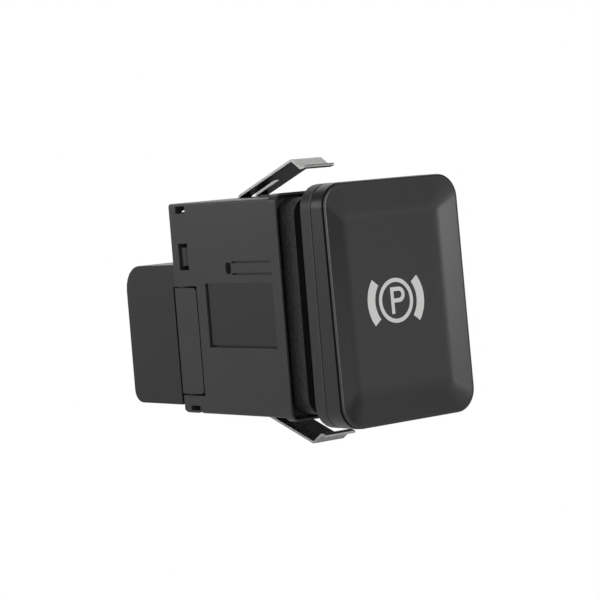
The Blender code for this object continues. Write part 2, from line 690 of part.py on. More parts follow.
def cut_side_marks(housing):
    """Sunk panel with a slot at its rear, and two lines that lead to a deep pip, on both long sides."""
    marks, slots = bmesh.new(), bmesh.new()
    face, clear = BODY_WIDTH / 2, BODY_WIDTH / 2 + FIT_GAP
    panel_rear = BODY_LENGTH - PANEL_REAR_SETBACK
    panel_top = BODY_TOP - PANEL_TOP_SETBACK
    panel_low = panel_top - PANEL_HEIGHT
    channel_z = BODY_TOP - CHANNEL_SETBACK
    channel_rear = PANEL_FRONT + CHANNEL_LENGTH
    for side, word in ((-1, "left"), (1, "right")):
        rings = []
        for y, depth in ((PANEL_FRONT, PANEL_FRONT_DEPTH), (panel_rear - SLOT_WIDTH / 2, PANEL_DEPTH)):
            out, sunk = side * clear, side * (face - depth)
            corners = ((out, panel_low), (out, panel_top), (sunk, panel_top), (sunk, panel_low))
            rings.append([(x, y, z) for x, z in corners])
        cut(housing, "panel_" + word, loft(rings))
        for z in (channel_z - CHANNEL_HEIGHT / 2, channel_z + CHANNEL_HEIGHT / 2):
            add_block(
                marks, mirrored(face - LINE_DEPTH, clear, side), (PANEL_FRONT, channel_rear),
                centred(LINE_WIDTH, z),
            )
        add_block(
            marks, mirrored(face - PIP_DEPTH, clear, side),
            (channel_rear + EDGE_BREAK, channel_rear + EDGE_BREAK + PIP_LENGTH),
            centred(CHANNEL_HEIGHT, channel_z), PIP_LENGTH / 3, FINE_STEPS, along="X",
        )
        add_block(
            marks, mirrored(face - PANEL_DEPTH - LINE_DEPTH, clear, side),
            (PANEL_FRONT, panel_rear - SLOT_WIDTH), centred(LINE_WIDTH, panel_low),
        )
        add_block(
            slots, mirrored(face - PIP_DEPTH, clear, side), (panel_rear - SLOT_WIDTH, panel_rear),
            (panel_low - LINE_WIDTH / 2, panel_top),
        )
    cut(housing, "lines_and_pips", marks)
    cut(housing, "panel_slots", slots)


def cut_latch_windows(housing):
    """Snap windows, tongue slots and corner notches, on both long sides."""
    windows = bmesh.new()
    inner, outer = CAVITY_WIDTH / 2 - FIT_GAP, BODY_WIDTH / 2 + FIT_GAP
    notch_top = BODY_TOP - NOTCH_INSET
    for side in (-1, 1):
        add_block(
            windows, mirrored(inner, outer, side), (WINDOW_FRONT, WINDOW_REAR),
            centred(WINDOW_HEIGHT, WINDOW_Z),
        )
        add_block(
            windows, mirrored(inner, outer, side), (TONGUE_FRONT - FIT_GAP, BODY_LENGTH + FIT_GAP),
            (TONGUE_LOW - FIT_GAP, TONGUE_HIGH + FIT_GAP), TONGUE_CORNER + FIT_GAP, FINE_STEPS + 1,
            along="X", front_only=True,
        )
        for end, height in ((-1, BOTTOM_NOTCH_HEIGHT), (1, TOP_NOTCH_HEIGHT)):
            add_block(
                windows, mirrored(BODY_WIDTH / 2 - NOTCH_DEPTH, outer, side),
                (WINDOW_FRONT, WINDOW_REAR), mirrored(notch_top - height, notch_top, end),
            )
    cut(housing, "latch_windows", windows)


def make_rear_cover(material):
    """Plate that closes the housing, with the connector's shroud behind it."""
    bm = bmesh.new()
    add_block(bm, centred(INSERT_WIDTH), (COVER_FRONT, COVER_REAR), centred(INSERT_HEIGHT))
    cover = finish("rear_cover", bm, PARTS, material)

    low_round, top_round = SHROUD_BOTTOM_ROUND, SHROUD_TOP_ROUND
    outline = [(SHROUD_FRONT, SHROUD_LOW)]
    outline += arc((SHROUD_REAR - low_round, SHROUD_LOW + low_round), low_round, -90, 0)
    outline += arc((SHROUD_REAR - top_round, SHROUD_HIGH - top_round), top_round, 0, 90)
    outline.append((SHROUD_FRONT, SHROUD_HIGH))
    combine(cover, outline_solid("shroud", outline, SHROUD_WIDTH, CUTTERS), "UNION")
    socket = bmesh.new()
    add_block(
        socket, centred(SOCKET_WIDTH), (COVER_REAR + FIT_GAP, SHROUD_REAR + FIT_GAP),
        (SHROUD_LOW + SHROUD_WALL, SHROUD_HIGH - SHROUD_WALL), SOCKET_CORNER, FINE_STEPS,
    )
    cut(cover, "socket", socket)
    ribs = bmesh.new()
    for side in (-1, 1):
        add_block(
            ribs, centred(CODING_RIB_WIDTH, side * (SOCKET_WIDTH / 2 - CODING_RIB_SETBACK)),
            (COVER_REAR, SHROUD_REAR - 2 * SHROUD_BOTTOM_ROUND),
            (SHROUD_LOW + SHROUD_WALL / 2, SHROUD_LOW + SHROUD_WALL + CODING_RIB_HEIGHT),
        )
    fuse(cover, "coding_ribs", ribs)
    grooves = bmesh.new()
    groove_front = COVER_REAR + FIT_GAP
    for side in (-1, 1):
        add_block(
            grooves, mirrored(SHROUD_WIDTH / 2 - ROOT_GROOVE_DEPTH, SHROUD_WIDTH / 2 + FIT_GAP, side),
            (groove_front, groove_front + ROOT_GROOVE_LENGTH), (SHROUD_LOW - FIT_GAP, TONGUE_HIGH),
        )
    cut(cover, "root_grooves", grooves)
    add_standoffs(cover)
    add_snap_arms(cover)
    add_tongues(cover)
    cut_pin_holes(cover, "cover_pin_holes", (COVER_FRONT - FIT_GAP, COVER_REAR + 2 * FIT_GAP))


def add_standoffs(cover):
    """Four corner posts that hold the circuit board against its ledges."""
    standoffs = bmesh.new()
    outer_x, outer_z = INSERT_WIDTH / 2 - FIT_GAP, INSERT_HEIGHT / 2 - FIT_GAP
    for side in (-1, 1):
        for end in (-1, 1):
            add_block(
                standoffs, mirrored(outer_x - STANDOFF_SIDE, outer_x, side),
                (COVER_FRONT - STANDOFF_LENGTH, COVER_CORE),
                mirrored(outer_z - STANDOFF_SIDE, outer_z, end),
            )
    fuse(cover, "standoffs", standoffs)


def add_snap_arms(cover):
    """Arms inside the walls, each with a hook that stands in a window."""
    arms = bmesh.new()
    arm_outer = INSERT_WIDTH / 2
    arm_height = WINDOW_HEIGHT - 2 * FIT_GAP
    hook_rear = WINDOW_REAR - FIT_GAP
    buried, crest = arm_outer - BODY_WALL / 2, CAVITY_WIDTH / 2 + HOOK_PROUD
    for side in (-1, 1):
        add_block(
            arms, mirrored(arm_outer - BODY_WALL, arm_outer, side), (WINDOW_FRONT, COVER_CORE),
            centred(arm_height, WINDOW_Z),
        )
    fuse(cover, "snap_arms", arms)
    wedge = (
        (buried, hook_rear), (crest, hook_rear), (crest, hook_rear - HOOK_CREST),
        (buried, hook_rear - HOOK_LENGTH),
    )
    for side, word in ((-1, "left"), (1, "right")):
        fuse(cover, "snap_hook_" + word, loft([
            [(side * x, y, z) for x, y in wedge] for z in centred(HOOK_HEIGHT, WINDOW_Z)
        ]))


def add_tongues(cover):
    """Tongues that lie flush in the slots of the housing's sides, and their roots."""
    roots, tongues = bmesh.new(), bmesh.new()
    for side in (-1, 1):
        add_block(
            roots, mirrored(INSERT_WIDTH / 2 - BODY_WALL, BODY_WIDTH / 2 - BODY_WALL / 2, side),
            (COVER_FRONT + EDGE_BREAK, TONGUE_REAR - EDGE_BREAK),
            (TONGUE_LOW + EDGE_BREAK, TONGUE_HIGH - EDGE_BREAK),
        )
        add_block(
            tongues, mirrored(CAVITY_WIDTH / 2, BODY_WIDTH / 2, side), (TONGUE_FRONT, TONGUE_REAR),
            (TONGUE_LOW, TONGUE_HIGH), TONGUE_CORNER, FINE_STEPS + 1, along="X", front_only=True,
        )
    fuse(cover, "tongue_roots", roots)
    fuse(cover, "tongues", tongues)


def make_clip(name, end, material):
    """Folded strip: a tail under the wall, a long rising arm, a short leg and a lip."""
    tail_z = CAVITY_HEIGHT / 2 - FIT_GAP - CLIP_THICKNESS / 2
    root_z = BODY_TOP + FIT_GAP
    apex_y, apex_z = CLIP_FOOT - CLIP_RUN, root_z + CLIP_RISE
    leg_y, leg_z = apex_y - CLIP_LEG_RUN, apex_z - CLIP_LEG_DROP
    corners = [
        (CLIP_FOOT + CLIP_TAIL, tail_z), (CLIP_FOOT, tail_z), (CLIP_FOOT, root_z),
        (apex_y, apex_z), (leg_y, leg_z), (leg_y - CLIP_LIP_RUN, leg_z + CLIP_LIP_RISE),
    ]
    bm = bmesh.new()
    path = [bm.verts.new((-CLIP_WIDTH / 2, y, end * z)) for y, z in bent_path(corners, CLIP_BEND)]
    edges = [bm.edges.new(pair) for pair in zip(path, path[1:])]
    pushed = bmesh.ops.extrude_edge_only(bm, edges=edges)["geom"]
    new_verts = [item for item in pushed if isinstance(item, bmesh.types.BMVert)]
    bmesh.ops.translate(bm, vec=(CLIP_WIDTH, 0, 0), verts=new_verts)
    clip = finish(name, bm, PARTS, material)
    wall = clip.modifiers.new("strip", "SOLIDIFY")
    wall.thickness = CLIP_THICKNESS
    wall.offset = 0.0
    wall.use_even_offset = True
    slot = bmesh.new()
    add_block(
        slot, centred(CLIP_SLOT_WIDTH), (CLIP_FOOT - CLIP_SLOT_LENGTH, CLIP_FOOT + CLIP_THICKNESS),
        mirrored(tail_z + CLIP_BEND, apex_z, end), CLIP_SLOT_WIDTH * 0.45, along="Z",
    )
    cut(clip, name + "_slot", slot)


def make_circuit_board(material):
    """Board across the housing, drilled for the contacts."""
    bm = bmesh.new()
    add_block(
        bm, centred(INSERT_WIDTH), (BOARD_FRONT, BOARD_REAR), centred(INSERT_HEIGHT), BOARD_CORNER,
    )
    board = finish("circuit_board", bm, PARTS, material)
    cut_pin_holes(board, "board_pin_holes", (BOARD_FRONT - FIT_GAP, BOARD_REAR + FIT_GAP))


def make_pin_header(material):
    """Bar on the back of the board that holds the contacts in line."""
    bm = bmesh.new()
    front = BOARD_REAR + FIT_GAP
    add_block(
        bm, centred((PINS_IN_A_ROW - 1) * PIN_PITCH + 2 * HEADER_MARGIN),
        (front, front + HEADER_THICKNESS), centred(PIN_ROW_GAP + 2 * HEADER_MARGIN, SOCKET_Z),
    )
    header = finish("pin_header", bm, PARTS, material)
    cut_pin_holes(header, "header_pin_holes", (front - FIT_GAP, front + HEADER_THICKNESS + FIT_GAP))


def make_terminals(material):
    """Square contacts with a tapered tip, from the board into the socket."""
    tip = SHROUD_REAR - PIN_SHORT_OF_MOUTH
    sections = ((BOARD_FRONT, PIN_SIDE), (tip - PIN_TAPER, PIN_SIDE), (tip, PIN_SIDE / 2))
    for number, (x, z) in enumerate(pin_places(), start=1):
        rings = []
        for y, side in sections:
            half = side / 2
            square = ((half, half), (-half, half), (-half, -half), (half, -half))
            rings.append([(x + across, y, z + up) for across, up in square])
        finish(f"terminal_{number}", loft(rings), PARTS, material)


def make_microswitch(name, side, material):
    """Small switch on the board, open at the front for its stem."""
    bm = bmesh.new()
    add_block(
        bm, centred(SWITCH_SIDE, side * SWITCH_X), (SWITCH_FRONT, SWITCH_REAR),
        centred(SWITCH_SIDE, SWITCH_Z), SWITCH_CORNER, FINE_STEPS,
    )
    body = finish(name, bm, PARTS, material)
    bore = bmesh.new()
    deep = SWITCH_FRONT + TRAVEL + 2 * FIT_GAP
    add_rod(
        bore, STEM_RADIUS + FIT_GAP, (SWITCH_FRONT - FIT_GAP, deep), side * SWITCH_X, SWITCH_Z,
        SMALL_ROUND_SIDES,
    )
    cut(body, name + "_bore", bore)


def make_switch_stem(name, side, material):
    """Round stem between a post of the carrier and its microswitch. It slides along Y."""
    front, rear = SKIRT_REAR + FIT_GAP, SWITCH_FRONT + FIT_GAP
    bm = bmesh.new()
    add_rod(bm, STEM_RADIUS, (0.0, rear - front), sides=SMALL_ROUND_SIDES)
    stem = finish(name, bm, PARTS, material)
    stem.location = (side * SWITCH_X, front, SWITCH_Z)


def make_led(name, side, material):
    """Small lamp on the board, behind the light guide."""
    bm = bmesh.new()
    add_block(
        bm, centred(LED_WIDTH, side * LED_SPACING / 2), (LED_FRONT, BOARD_FRONT - FIT_GAP),
        centred(LED_HEIGHT),
    )
    finish(name, bm, PARTS, material)


def make_light_guide(material):
    """Turned clear rod with a flange, held between the bulkhead and the board."""
    flange_front = BULKHEAD_REAR + FIT_GAP
    flange_rear = flange_front + GUIDE_FLANGE_DEPTH
    rear = LED_FRONT - FIT_GAP
    profile = [
        (0.0, GUIDE_FRONT), (GUIDE_RADIUS, GUIDE_FRONT), (GUIDE_RADIUS, flange_front),
        (GUIDE_RADIUS + GUIDE_FLANGE, flange_front), (GUIDE_RADIUS + GUIDE_FLANGE, flange_rear),
        (GUIDE_RADIUS, flange_rear), (GUIDE_RADIUS, rear), (0.0, rear),
    ]
    bm = bmesh.new()
    verts = [bm.verts.new((radius, y, 0.0)) for radius, y in reversed(profile)]
    for pair in zip(verts, verts[1:]):
        bm.edges.new(pair)
    guide = finish("light_guide", bm, PARTS, material)
    turn = guide.modifiers.new("turned", "SCREW")
    turn.axis = "Y"
    turn.steps = turn.render_steps = ROUND_SIDES
    turn.use_merge_vertices = True
    turn.merge_threshold = 0.01 * MM


def make_return_spring(material):
    """Compression coil around the chimney, from the carrier's plate to the bulkhead."""
    start = PLATE_REAR + FIT_GAP + WIRE_RADIUS
    end = BULKHEAD_FRONT - FIT_GAP - WIRE_RADIUS
    count = SPRING_TURNS * POINTS_PER_TURN
    curve = bpy.data.curves.new("return_spring", "CURVE")
    curve.dimensions = "3D"
    curve.bevel_depth = WIRE_RADIUS
    curve.bevel_resolution = 2
    curve.use_fill_caps = True
    spline = curve.splines.new("POLY")
    spline.points.add(count)
    for index, point in enumerate(spline.points):
        angle = math.radians(360) * index / POINTS_PER_TURN
        y = start + (end - start) * index / count
        point.co = (SPRING_RADIUS * math.cos(angle), y, SPRING_RADIUS * math.sin(angle), 1.0)
    show("return_spring", curve, PARTS, material)


def new_collection(name):
    """Collection linked to the scene."""
    collection = bpy.data.collections.new(name)
    bpy.context.scene.collection.children.link(collection)
    return collection


for leftover in list(bpy.data.objects):
    bpy.data.objects.remove(leftover)
PARTS = new_collection("parking_brake_switch")
CUTTERS = new_collection("cutters")

cap_black = plastic("satin_black_abs", 0.030, 0.030, 0.031, 0.42)
housing_black = plastic("textured_black_pa", 0.045, 0.045, 0.046, 0.55)
spring_steel = metal("spring_steel", 0.62, 0.62, 0.60, 0.30)
wire_steel = metal("wire_steel", 0.55, 0.55, 0.55, 0.35)
tin_plate = metal("tinned_brass", 0.70, 0.68, 0.62, 0.35)
board_green = plastic("circuit_board_green", 0.02, 0.12, 0.06, 0.50)
header_black = plastic("header_black", 0.025, 0.025, 0.025, 0.50)
clear_plastic = plastic("clear_acrylic", 0.80, 0.82, 0.84, 0.10)
white_plastic = plastic("opal_white", 0.75, 0.75, 0.73, 0.40)
lamp_red = plastic("red_lamp", 0.45, 0.03, 0.02, 0.25)

make_button_cap(cap_black)
make_button_carrier(cap_black)
make_symbol_diffuser(white_plastic)
make_housing(housing_black)
make_rear_cover(housing_black)
make_clip("clip_top", 1, spring_steel)
make_clip("clip_bottom", -1, spring_steel)
make_circuit_board(board_green)
make_pin_header(header_black)
make_terminals(tin_plate)
for word, direction in (("left", -1), ("right", 1)):
    make_microswitch(f"microswitch_{word}", direction, header_black)
    make_switch_stem(f"switch_stem_{word}", direction, white_plastic)
make_led("led_white", -1, white_plastic)
make_led("led_red", 1, lamp_red)
make_light_guide(clear_plastic)
make_return_spring(wire_steel)
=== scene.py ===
# %% [markdown]
# # Electric parking brake switch, dressed for its portrait
# A push button with a dished face sits in a black box that clips into a dashboard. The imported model
# gives the solids at their real size. This lesson gives them the looks: soft moulded edges, the
# symbol on the face, folded steel clips, and a finish for every surface. The model is loaded first,
# because every piece made here is placed in its frame: metres, the button facing -Y, +Z up.

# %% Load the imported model
import json
import math

import bmesh
import bpy
from mathutils import Matrix, Vector


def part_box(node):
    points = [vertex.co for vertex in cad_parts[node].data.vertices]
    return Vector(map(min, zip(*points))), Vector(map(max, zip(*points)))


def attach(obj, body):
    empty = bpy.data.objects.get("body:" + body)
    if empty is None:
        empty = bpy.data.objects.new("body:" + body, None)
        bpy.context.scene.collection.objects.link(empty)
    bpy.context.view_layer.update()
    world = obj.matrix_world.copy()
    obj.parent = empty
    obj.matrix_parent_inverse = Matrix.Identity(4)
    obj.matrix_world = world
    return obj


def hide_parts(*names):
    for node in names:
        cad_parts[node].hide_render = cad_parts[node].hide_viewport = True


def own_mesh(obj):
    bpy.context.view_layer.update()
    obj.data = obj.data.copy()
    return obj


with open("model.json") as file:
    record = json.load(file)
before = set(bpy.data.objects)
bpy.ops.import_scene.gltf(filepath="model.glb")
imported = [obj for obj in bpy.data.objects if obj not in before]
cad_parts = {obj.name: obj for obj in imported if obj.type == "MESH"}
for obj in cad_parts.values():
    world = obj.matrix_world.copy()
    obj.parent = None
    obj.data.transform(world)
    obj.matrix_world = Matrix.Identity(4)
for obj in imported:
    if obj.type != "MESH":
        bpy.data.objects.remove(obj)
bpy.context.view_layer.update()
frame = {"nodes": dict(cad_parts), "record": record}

MM = 0.001

# %% [markdown]
# ## Camera
# The photograph was taken with a long lens from the front left, a little above the switch. A camera
# can be aimed by eye, or solved from edges whose real size is known. It was solved here, so its place
# is given as three numbers in millimetres, and its aim as a direction and a small roll.

# %% Camera
CAMERA_PLACE = Vector((-248.33, -299.09, 23.68)) * MM
CAMERA_AIM = Vector((0.62331, 0.77970, -0.05935))
CAMERA_ROLL = math.radians(-4.5955)
LENS_MM = 138.26
SENSOR_MM = 36.0

lens = bpy.data.cameras.new("photo_camera")
lens.lens = LENS_MM
lens.sensor_width = SENSOR_MM
lens.clip_start = 10 * MM
camera = bpy.data.objects.new("photo_camera", lens)
bpy.context.scene.collection.objects.link(camera)
level = CAMERA_AIM.to_track_quat("-Z", "Y").to_matrix()
rolled = level @ Matrix.Rotation(CAMERA_ROLL, 3, "Z")
camera.matrix_world = Matrix.Translation(CAMERA_PLACE) @ rolled.to_4x4()
bpy.context.scene.camera = camera
bpy.context.scene.view_settings.view_transform = "Standard"
print("camera turned by", [round(math.degrees(angle), 2) for angle in camera.matrix_world.to_euler()])

# %% [markdown]
# ## Colours and nodes
# Every finish below is a small graph of nodes. It could be drawn by hand in the editor, but written
# down it can be read and changed like a recipe. One function adds a node, sets it and links it.
# Colours are written as they look on a screen, and another function turns such a value into the
# linear light that the renderer counts in.


# %% Colour and node helpers
def srgb(code):
    """Linear colour of a six-digit sRGB hex value."""
    parts = [int(code[place:place + 2], 16) / 255 for place in (1, 3, 5)]
    return [part / 12.92 if part <= 0.04045 else ((part + 0.055) / 1.055) ** 2.4 for part in parts] + [1.0]


def add_node(tree, kind, inputs=(), **settings):
    """Node of a kind. Each input is a plain value, or the output of an earlier node."""
    node = tree.nodes.new(kind)
    for name, value in settings.items():
        setattr(node, name, value)
    for name, value in dict(inputs).items():
        if isinstance(value, bpy.types.NodeSocket):
            tree.links.new(value, node.inputs[name])
        else:
            node.inputs[name].default_value = value
    return node


def new_tree(name):
    """New material, and its node tree, emptied."""
    material = bpy.data.materials.new(name)
    material.use_nodes = True
    material.node_tree.nodes.clear()
    return material, material.node_tree


print("mid grey in linear light:", round(srgb("#808080")[0], 3))

# %% [markdown]
# ## White surroundings
# The switch is shown on plain white. A studio lights a white sweep until it burns out, which would
# also wash out a small black object. Here the white is a glow that lights nothing matt. It shows only
# where it is looked at, straight, through clear plastic or in something glossy, so the lamps can stay
# at a plain level. The room behind all else is white to the camera, and dim to what it lights.

# %% Dim room
ROOM_LEVEL = 0.10

world = bpy.data.worlds.new("dim_room")
world.use_nodes = True
bpy.context.scene.world = world
tree = world.node_tree
tree.nodes.clear()
path = add_node(tree, "ShaderNodeLightPath")
dim = add_node(tree, "ShaderNodeBackground", {"Color": srgb("#FFFFFF"), "Strength": ROOM_LEVEL})
white = add_node(tree, "ShaderNodeBackground", {"Color": srgb("#FFFFFF"), "Strength": 1.0})
mixed = add_node(tree, "ShaderNodeMixShader", {
    0: path.outputs["Is Camera Ray"], 1: dim.outputs[0], 2: white.outputs[0],
})
add_node(tree, "ShaderNodeOutputWorld", {"Surface": mixed.outputs[0]})
print("room level:", ROOM_LEVEL)

# %% [markdown]
# ## Floor and back wall
# Under the switch the floor is pale matt paint, so it takes a shadow. Past a radius it turns into the
# white glow, with a soft change that no one sees as an edge. Gloss and metal mirror that glow too, but
# only from farther out. From close by it would veil the black plastic and outline the lower clip.

# %% White paint
GLOSS_REACH = 6


def white_paint(name, bare_radius):
    """Pale paint that glows white past a radius about Z, and to glossy rays from farther out."""
    material, tree = new_tree(name)
    path = add_node(tree, "ShaderNodeLightPath")
    seen = add_node(tree, "ShaderNodeMath", {
        0: path.outputs["Is Camera Ray"], 1: path.outputs["Is Transmission Ray"],
    }, operation="MAXIMUM")
    place = add_node(tree, "ShaderNodeTexCoord")
    flat = add_node(tree, "ShaderNodeVectorMath", {
        0: place.outputs["Object"], 1: (1, 1, 0),
    }, operation="MULTIPLY")
    radius = add_node(tree, "ShaderNodeVectorMath", {0: flat.outputs[0]}, operation="LENGTH")
    shares = []
    for rays, reach in (
        (seen.outputs[0], bare_radius), (path.outputs["Is Glossy Ray"], GLOSS_REACH * bare_radius),
    ):
        far = add_node(tree, "ShaderNodeMapRange", {
            "Value": radius.outputs["Value"], "From Min": reach / 2, "From Max": reach + MM,
        }, interpolation_type="SMOOTHSTEP")
        shares.append(add_node(tree, "ShaderNodeMath", {0: rays, 1: far.outputs[0]}, operation="MULTIPLY"))
    share = add_node(tree, "ShaderNodeMath", {
        0: shares[0].outputs[0], 1: shares[1].outputs[0],
    }, operation="MAXIMUM")
    paint = add_node(tree, "ShaderNodeBsdfDiffuse", {"Color": srgb("#E4E4E4")})
    glow = add_node(tree, "ShaderNodeEmission", {"Color": srgb("#FFFFFF"), "Strength": 1.0})
    mixed = add_node(tree, "ShaderNodeMixShader", {
        0: share.outputs[0], 1: paint.outputs[0], 2: glow.outputs[0],
    })
    add_node(tree, "ShaderNodeOutputMaterial", {"Surface": mixed.outputs[0]})
    return material


print("gloss sees the glow from", GLOSS_REACH, "times as far out as the camera does")

# %% Floor and back wall
FLOOR_Z = -0.085
FLOOR_SIZE, WALL_SIZE = 3.0, 1.6
SHADOW_RADIUS = 0.16
WALL_TURN, WALL_DISTANCE, WALL_MIDDLE_Z = math.radians(-38.6), 1.1, 0.4


def add_stage(name, size, matrix, material):
    """Flat stage piece that isn't part of the object."""
    bm = bmesh.new()
    bmesh.ops.create_grid(bm, x_segments=1, y_segments=1, size=size / 2, matrix=matrix)
    mesh = bpy.data.meshes.new(name)
    bm.to_mesh(mesh)
    bm.free()
    mesh.materials.append(material)
    thing = bpy.data.objects.new(name, mesh)
    bpy.context.scene.collection.objects.link(thing)


lowered = Matrix.Translation((0, 0, FLOOR_Z))
add_stage("floor", FLOOR_SIZE, lowered, white_paint("floor_paint", SHADOW_RADIUS))
standing = Matrix.Translation((0, WALL_DISTANCE, WALL_MIDDLE_Z)) @ Matrix.Rotation(math.radians(90), 4, "X")
facing = Matrix.Rotation(WALL_TURN, 4, "Z")
add_stage("back_wall", WALL_SIZE, facing @ standing, white_paint("wall_paint", 0.0))
print("floor", round(-FLOOR_Z / MM), "mm below the middle of the switch")

# %% [markdown]
# ## Lamps
# Black plastic shows its shape by what it mirrors, so each lamp is placed for a surface. One broad
# lamp would light everything evenly and flatten the dish. Here a tall one in front draws the dish's
# right border as a pale band and lights the symbol, and one on the left lights the ring behind the
# button. A small one at the rear left glances along the side of the box and outlines the upper clip,
# and one at the front right lifts the dish's floor. One above lifts the neck and the lower clip, and
# one at the rear right lights the top of the upper clip. No lamp stands where the dish's left border
# would mirror it, so that border is dark.

# %% Soft lamps
LAMP_DISTANCE = 0.6


def add_lamp(name, azimuth, elevation, size, power):
    """Soft lamp that looks at the switch. Azimuth 0 is in front of the button, 90 on its right."""
    turn, lift = math.radians(azimuth), math.radians(elevation)
    towards = Vector((math.sin(turn) * math.cos(lift), -math.cos(turn) * math.cos(lift), math.sin(lift)))
    light = bpy.data.lights.new(name, "AREA")
    light.shape = "RECTANGLE"
    light.size, light.size_y = size
    light.energy = power
    lamp = bpy.data.objects.new(name, light)
    aim = towards.to_track_quat("Z", "Y").to_matrix().to_4x4()
    lamp.matrix_world = Matrix.Translation(towards * LAMP_DISTANCE) @ aim
    bpy.context.scene.collection.objects.link(lamp)


add_lamp("front_softbox", azimuth=0, elevation=17, size=(0.24, 0.40), power=2.5)
add_lamp("left_softbox", azimuth=-60, elevation=20, size=(0.24, 0.55), power=1.8)
add_lamp("rear_left_card", azimuth=-141, elevation=13, size=(0.22, 0.22), power=0.32)
add_lamp("front_right_card", azimuth=38, elevation=12, size=(0.22, 0.40), power=0.17)
add_lamp("top_softbox", azimuth=-115, elevation=56, size=(0.30, 0.30), power=1.0)
add_lamp("rear_right_softbox", azimuth=113, elevation=50, size=(0.30, 0.30), power=0.40)

# %% [markdown]
# ## Plastics
# All the black mouldings have nearly the same colour. What tells them apart is how their surface was
# made: painted, or left by a polished or a spark-eroded tool. On the neck, in the recess behind the
# ring, the coarse and the smooth finishes are also dark as painted shade. So one recipe serves all,
# with a colour, a roughness and a grain of its own for each. The grain is noise in the bump, and a
# second, slow noise changes tone and gloss a little, because no moulding is perfectly even. Real spark
# grains are about 0.05 mm across, too fine for the render, so every grain is drawn several times as
# coarse.

# %% Moulded plastic
SLOW_CHANGE = 6 * MM
GLOSS_CHANGE = 0.04
# Noise runs from 0 to 1, but most of its values lie between these two.
NOISE_LOW, NOISE_HIGH = 0.3, 0.7


def moulded_plastic(name, colour, roughness, grain, relief, mottle=0.04):
    """Plastic with a moulded grain. Grain and relief are lengths, mottle is a share of the colour."""
    material, tree = new_tree(name)
    place = add_node(tree, "ShaderNodeTexCoord")
    slow = add_node(tree, "ShaderNodeTexNoise", {
        "Vector": place.outputs["Object"], "Scale": 1 / SLOW_CHANGE, "Detail": 3.0,
    })
    tone = add_node(tree, "ShaderNodeMapRange", {
        "Value": slow.outputs[0], "From Min": NOISE_LOW, "From Max": NOISE_HIGH,
        "To Min": 1 - mottle, "To Max": 1 + mottle,
    })
    hue = add_node(
        tree, "ShaderNodeVectorMath", {0: srgb(colour)[:3], "Scale": tone.outputs[0]}, operation="SCALE",
    )
    fine = add_node(tree, "ShaderNodeTexNoise", {
        "Vector": place.outputs["Object"], "Scale": 1 / grain, "Detail": 2.0,
    })
    bump = add_node(tree, "ShaderNodeBump", {"Height": fine.outputs[0], "Distance": relief})
    gloss = add_node(tree, "ShaderNodeMapRange", {
        "Value": slow.outputs[0], "To Min": roughness - GLOSS_CHANGE, "To Max": roughness + GLOSS_CHANGE,
    })
    shader = add_node(tree, "ShaderNodeBsdfPrincipled", {
        "Base Color": hue.outputs[0], "Roughness": gloss.outputs[0], "Normal": bump.outputs[0], "IOR": 1.5,
    })
    add_node(tree, "ShaderNodeOutputMaterial", {"Surface": shader.outputs[0]})
    return material


print("tone and gloss change over about", round(SLOW_CHANGE / MM), "mm")

# %% Plastics of the switch
# ABS with sprayed satin paint: smooth, with an even soft gloss that shows the dish's borders.
painted_abs = moulded_plastic("satin_painted_abs", "#1A1A1B", 0.31, 0.25 * MM, 0.003 * MM, mottle=0.02)
# The same ABS as moulded, unpainted: a little greyer and duller.
ring_abs = moulded_plastic("moulded_abs", "#222223", 0.42, 0.35 * MM, 0.008 * MM)
# Glass-filled polyamide from a finely spark-eroded tool: scatters light, so it looks dark grey.
textured_pa = moulded_plastic(
    "fine_spark_textured_polyamide", "#282829", 0.38, 0.45 * MM, 0.015 * MM, mottle=0.08,
)
# The same polyamide from a smoother part of the tool: scatters less, so it looks blacker.
# On the front of the neck this dark colour is painted shade, so the gap behind the ring looks black.
smooth_and_shade_pa = moulded_plastic(
    "smooth_polyamide_and_painted_shade", "#141415", 0.34, 0.60 * MM, 0.004 * MM, mottle=0.06,
)
# The same again from a coarsely eroded part: dull, with a grain that can be made out.
# Its colour, darker than the fine finish, is painted shade for the recess between flange and ring.
coarse_grain_and_shade_pa = moulded_plastic(
    "coarse_polyamide_and_painted_shade", "#171718", 0.60, 0.80 * MM, 0.30 * MM, mottle=0.3,
)
# Polyester of the header and the small switches: dull black.
header_plastic = moulded_plastic("black_polyester", "#202021", 0.50, 0.4 * MM, 0.01 * MM)
# Opal acrylic, moulded smooth: an even pale grey, with the lamps behind it off.
opal_plastic = moulded_plastic("opal_acrylic", "#ADADAC", 0.38, 0.5 * MM, 0.005 * MM, mottle=0.01)
# Phosphor cast in silicone: yellow, because the lamp is off.
phosphor = moulded_plastic("led_phosphor_in_silicone", "#D8C56A", 0.30, 0.2 * MM, 0.004 * MM, mottle=0.05)
black_plastics = painted_abs, ring_abs, textured_pa, smooth_and_shade_pa, coarse_grain_and_shade_pa, header_plastic
print("black plastics:", [plastic.name for plastic in black_plastics])

# %% [markdown]
# ## Metals
# The clips are spring steel. Their strip was rolled and tempered, which leaves a dark skin with fine
# lines along it. The punch shears through that skin, so cut edges are bright, and the knurl on the lip
# has worn it to a pale mottle. Wire and tinned contacts have lines too. One recipe serves all: noise
# that is squeezed across the lines and drawn out along them, or left round for the knurl's dots. Bare
# metal has no colour below its surface, so all it shows is what it mirrors. Such lines are a few
# hundredths of a millimetre apart, too fine for the render, and are drawn about ten times as wide.

# %% Rolled and drawn metal
LINE_LENGTH = 30
LINE_GLOSS_CHANGE = 0.08


